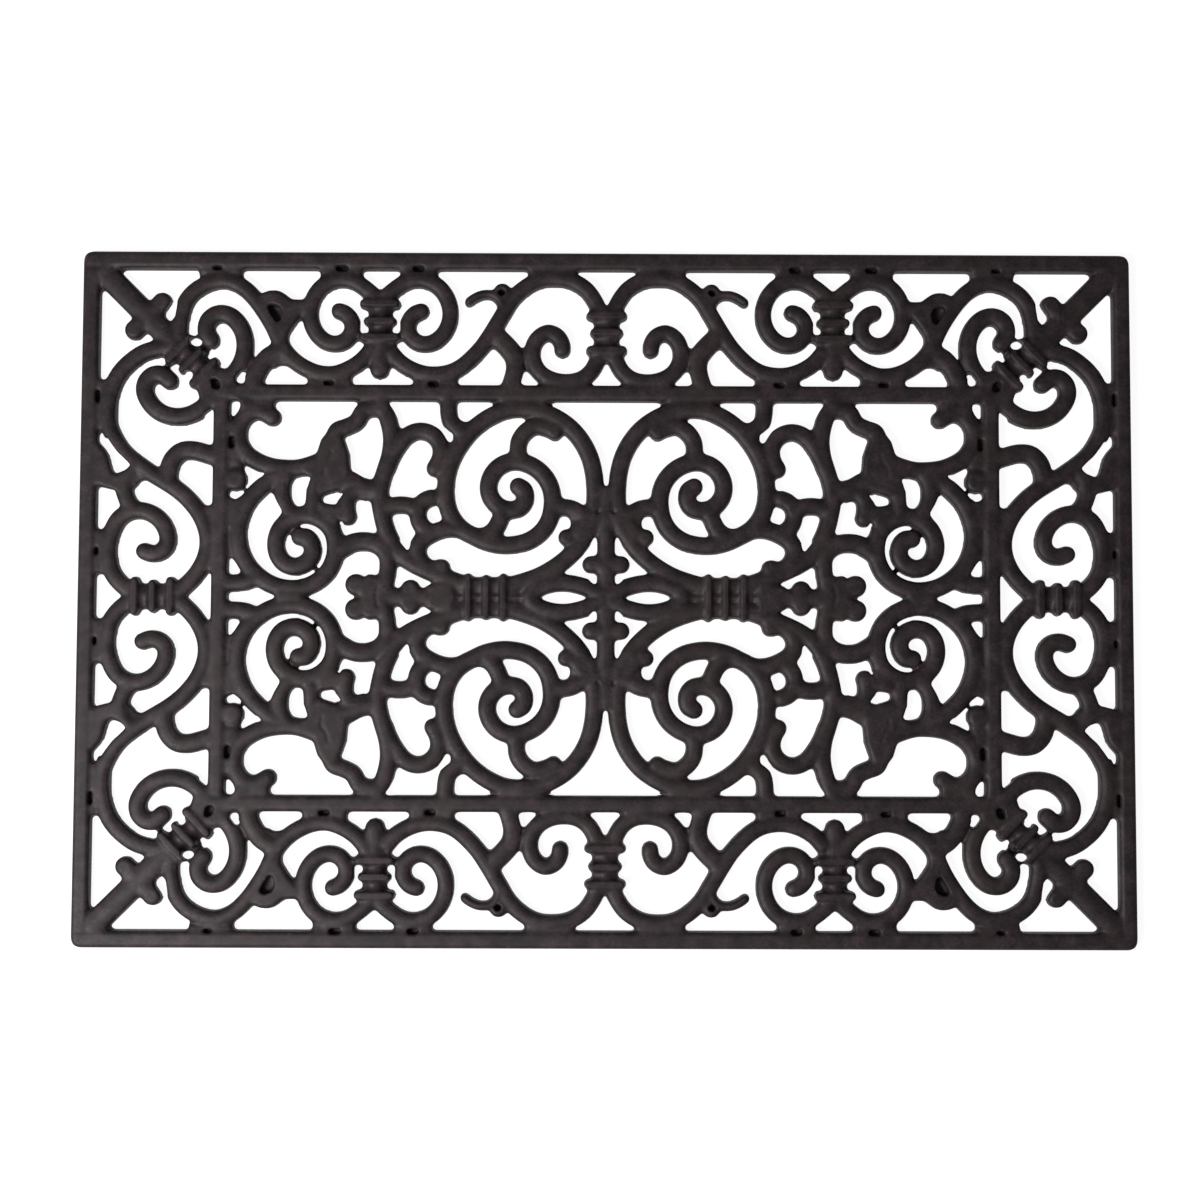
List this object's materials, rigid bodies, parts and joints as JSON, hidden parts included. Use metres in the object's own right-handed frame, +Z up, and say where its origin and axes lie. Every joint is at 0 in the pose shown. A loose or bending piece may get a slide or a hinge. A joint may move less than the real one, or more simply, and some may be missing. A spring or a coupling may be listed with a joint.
{
  "type": "rubber door mat",
  "caption": "Open-work rubber scraper door mat, rectangular, moulded to look like a forged scroll grille with straight rails, curled bars and ribbed collars.",
  "frame": {"origin": "middle of the flat underside, where the mat rests on the floor", "axes": "+X along the length of the mat, +Y across it towards its back edge, +Z up"},
  "size_m": [0.6, 0.396, 0.009],
  "materials": {
    "moulded_rubber": "satin, mottled dark brown-black"
  },
  "bodies": {
    "root": {"border_collar_back_left": "moulded_rubber", "border_collar_back_right": "moulded_rubber", "border_collar_front_left": "moulded_rubber", "border_collar_front_right": "moulded_rubber", "centre_arch_back": "moulded_rubber", "centre_arch_front": "moulded_rubber", "centre_collar_back": "moulded_rubber", "centre_collar_front": "moulded_rubber", "centre_hooks_back": "moulded_rubber", "centre_hooks_front": "moulded_rubber", "corner_collar_back_left": "moulded_rubber", "corner_collar_back_right": "moulded_rubber", "corner_collar_front_left": "moulded_rubber", "corner_collar_front_right": "moulded_rubber", "corner_hooks_back_left": "moulded_rubber", "corner_hooks_back_right": "moulded_rubber", "corner_hooks_front_left": "moulded_rubber", "corner_hooks_front_right": "moulded_rubber", "corner_spear_back_left": "moulded_rubber", "corner_spear_back_right": "moulded_rubber", "corner_spear_front_left": "moulded_rubber", "corner_spear_front_right": "moulded_rubber", "cross": "moulded_rubber", "heart_back_left": "moulded_rubber", "heart_back_right": "moulded_rubber", "heart_front_left": "moulded_rubber", "heart_front_right": "moulded_rubber", "inner_rail_back": "moulded_rubber", "inner_rail_front": "moulded_rubber", "inner_rail_left": "moulded_rubber", "inner_rail_right": "moulded_rubber", "leaf_stem_back_left": "moulded_rubber", "leaf_stem_back_right": "moulded_rubber", "leaf_stem_front_left": "moulded_rubber", "leaf_stem_front_right": "moulded_rubber", "long_scroll_back_left": "moulded_rubber", "long_scroll_back_right": "moulded_rubber", "long_scroll_front_left": "moulded_rubber", "long_scroll_front_right": "moulded_rubber", "outer_rail_back": "moulded_rubber", "outer_rail_front": "moulded_rubber", "outer_rail_left": "moulded_rubber", "outer_rail_right": "moulded_rubber", "outer_scrolls_left": "moulded_rubber", "outer_scrolls_right": "moulded_rubber", "side_collar_left": "moulded_rubber", "side_collar_right": "moulded_rubber", "side_scroll_back_left": "moulded_rubber", "side_scroll_back_right": "moulded_rubber", "side_scroll_front_left": "moulded_rubber", "side_scroll_front_right": "moulded_rubber", "sleeve_left": "moulded_rubber", "sleeve_right": "moulded_rubber", "wheel_back_left": "moulded_rubber", "wheel_back_right": "moulded_rubber", "wheel_front_left": "moulded_rubber", "wheel_front_right": "moulded_rubber"}
  },
  "joints": []
}
